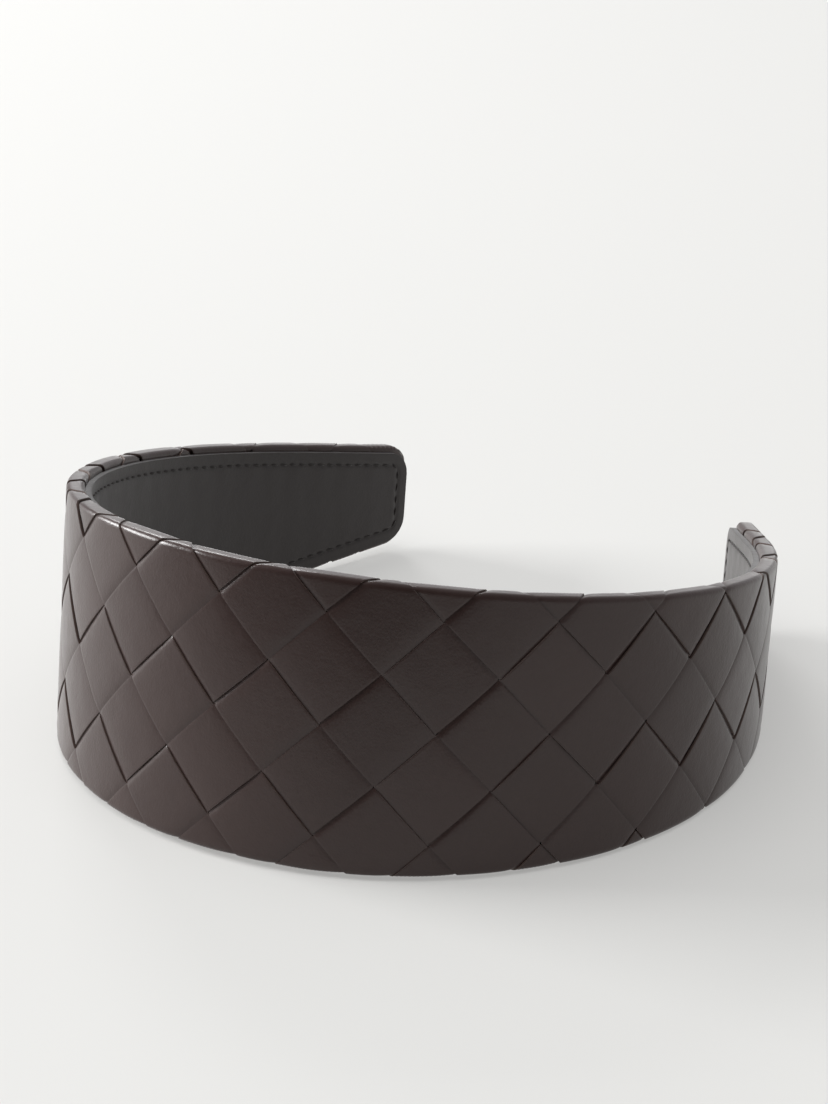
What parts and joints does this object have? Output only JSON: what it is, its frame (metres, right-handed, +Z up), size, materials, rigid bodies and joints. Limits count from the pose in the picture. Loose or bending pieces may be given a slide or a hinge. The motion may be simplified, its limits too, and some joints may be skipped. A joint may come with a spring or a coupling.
{
  "type": "woven leather headband",
  "caption": "Wide tapered C-shaped headband of flat leather strips woven on the bias over a padded spring band, edges rolled, with a sewn leather lining.",
  "frame": {"origin": "middle of the bounding box's base, on the surface that the band rests on", "axes": "+Z up, 6 degrees off the band's width, because the band leans back as it rests; X from one arm to the other, ear to ear; the crown faces -Y and the arms' tips point to +Y"},
  "size_m": [0.1296, 0.1466, 0.0522],
  "materials": {
    "woven_leather": "smooth satin calf, dark espresso brown",
    "lining_leather": "smooth matte calf, dark grey-brown",
    "thread": "waxed polyester, tone on tone",
    "padding": "thin felt",
    "spring": "cold-rolled spring steel strip"
  },
  "bodies": {
    "root": {"falling_strip_01": "woven_leather", "falling_strip_02": "woven_leather", "falling_strip_03": "woven_leather", "falling_strip_04": "woven_leather", "falling_strip_05": "woven_leather", "falling_strip_06": "woven_leather", "falling_strip_07": "woven_leather", "falling_strip_08": "woven_leather", "falling_strip_09": "woven_leather", "falling_strip_10": "woven_leather", "falling_strip_11": "woven_leather", "falling_strip_12": "woven_leather", "falling_strip_13": "woven_leather", "falling_strip_14": "woven_leather", "falling_strip_15": "woven_leather", "falling_strip_16": "woven_leather", "falling_strip_17": "woven_leather", "falling_strip_18": "woven_leather", "falling_strip_19": "woven_leather", "falling_strip_20": "woven_leather", "lining": "lining_leather", "lining_thread": "thread", "padding": "padding", "rising_strip_01": "woven_leather", "rising_strip_02": "woven_leather", "rising_strip_03": "woven_leather", "rising_strip_04": "woven_leather", "rising_strip_05": "woven_leather", "rising_strip_06": "woven_leather", "rising_strip_07": "woven_leather", "rising_strip_08": "woven_leather", "rising_strip_09": "woven_leather", "rising_strip_10": "woven_leather", "rising_strip_11": "woven_leather", "rising_strip_12": "woven_leather", "rising_strip_13": "woven_leather", "rising_strip_14": "woven_leather", "rising_strip_15": "woven_leather", "rising_strip_16": "woven_leather", "rising_strip_17": "woven_leather", "rising_strip_18": "woven_leather", "rising_strip_19": "woven_leather", "rising_strip_20": "woven_leather", "spring_band": "spring"}
  },
  "joints": []
}
